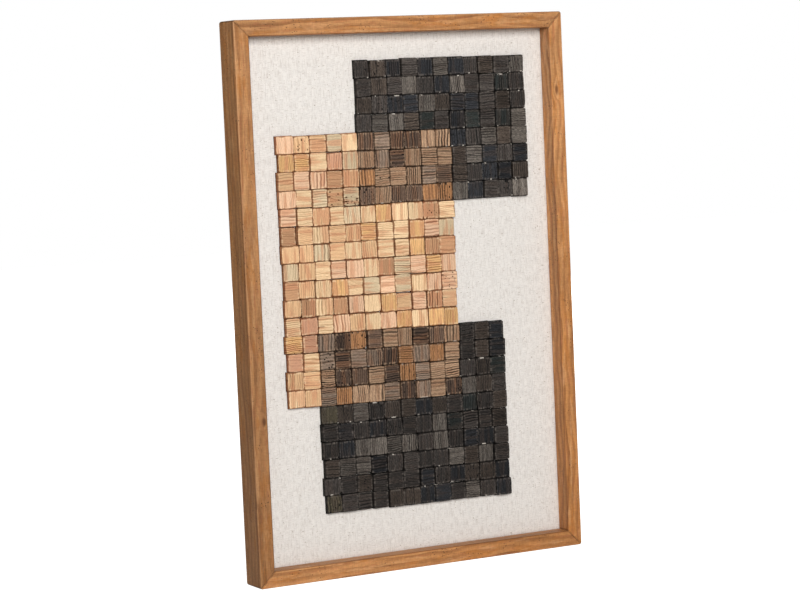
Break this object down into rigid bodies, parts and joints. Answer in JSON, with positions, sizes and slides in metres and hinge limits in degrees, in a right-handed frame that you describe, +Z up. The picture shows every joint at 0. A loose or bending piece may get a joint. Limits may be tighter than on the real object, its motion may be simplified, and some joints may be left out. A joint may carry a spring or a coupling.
{
  "type": "wood relief wall panel",
  "caption": "Upright relief wall panel: overlapping fields of small wooden blocks in rows, natural, brown and black, on linen, deep inside a mitred wooden frame with keyhole hangers.",
  "frame": {"origin": "on the back face of the top rail, halfway along it and halfway up it, where the panel meets the wall it hangs on", "axes": "+Z up along the panel's height, +X to the right seen from the front, +Y out of the back and into the wall"},
  "size_m": [0.5, 0.045, 0.75],
  "materials": {
    "frame_wood": "oiled softwood, warm orange-brown, open grain along each rail",
    "linen": "plain-woven natural linen, off-white with grey and tan slubs",
    "board": "bare fibreboard, matt brown",
    "natural_wood": "brushed softwood with raised grain, unfinished, tan, cream and pinkish",
    "brown_wood": "brushed softwood with raised grain, stained brown, streaked",
    "black_wood": "brushed softwood with raised grain, charred black and dark grey",
    "steel": "zinc-plated sheet steel"
  },
  "bodies": {
    "root": {"top_rail": "frame_wood", "right_rail": "frame_wood", "bottom_rail": "frame_wood", "left_rail": "frame_wood", "linen_facing": "linen", "backing_board": "board", "keyhole_hanger_left": "steel", "keyhole_hanger_right": "steel", "upper_black_row_1": "black_wood", "upper_black_row_2": "black_wood", "upper_black_row_3": "black_wood", "upper_black_row_4": "black_wood", "upper_black_row_5": "black_wood", "upper_black_row_6": "black_wood", "upper_black_row_7": "black_wood", "upper_black_row_8": "black_wood", "upper_brown_row_1": "brown_wood", "upper_brown_row_2": "brown_wood", "upper_brown_row_3": "brown_wood", "upper_brown_row_4": "brown_wood", "natural_row_1": "natural_wood", "natural_row_2": "natural_wood", "natural_row_3": "natural_wood", "natural_row_4": "natural_wood", "natural_row_5": "natural_wood", "natural_row_6": "natural_wood", "natural_row_7": "natural_wood", "natural_row_8": "natural_wood", "natural_row_9": "natural_wood", "natural_row_10": "natural_wood", "natural_row_11": "natural_wood", "natural_row_12": "natural_wood", "natural_row_13": "natural_wood", "natural_row_14": "natural_wood", "natural_row_15": "natural_wood", "lower_brown_row_1": "brown_wood", "lower_brown_row_2": "brown_wood", "lower_brown_row_3": "brown_wood", "lower_brown_row_4": "brown_wood", "lower_black_row_1": "black_wood", "lower_black_row_2": "black_wood", "lower_black_row_3": "black_wood", "lower_black_row_4": "black_wood", "lower_black_row_5": "black_wood", "lower_black_row_6": "black_wood", "lower_black_row_7": "black_wood", "lower_black_row_8": "black_wood", "lower_black_row_9": "black_wood", "lower_black_row_10": "black_wood"}
  },
  "joints": []
}
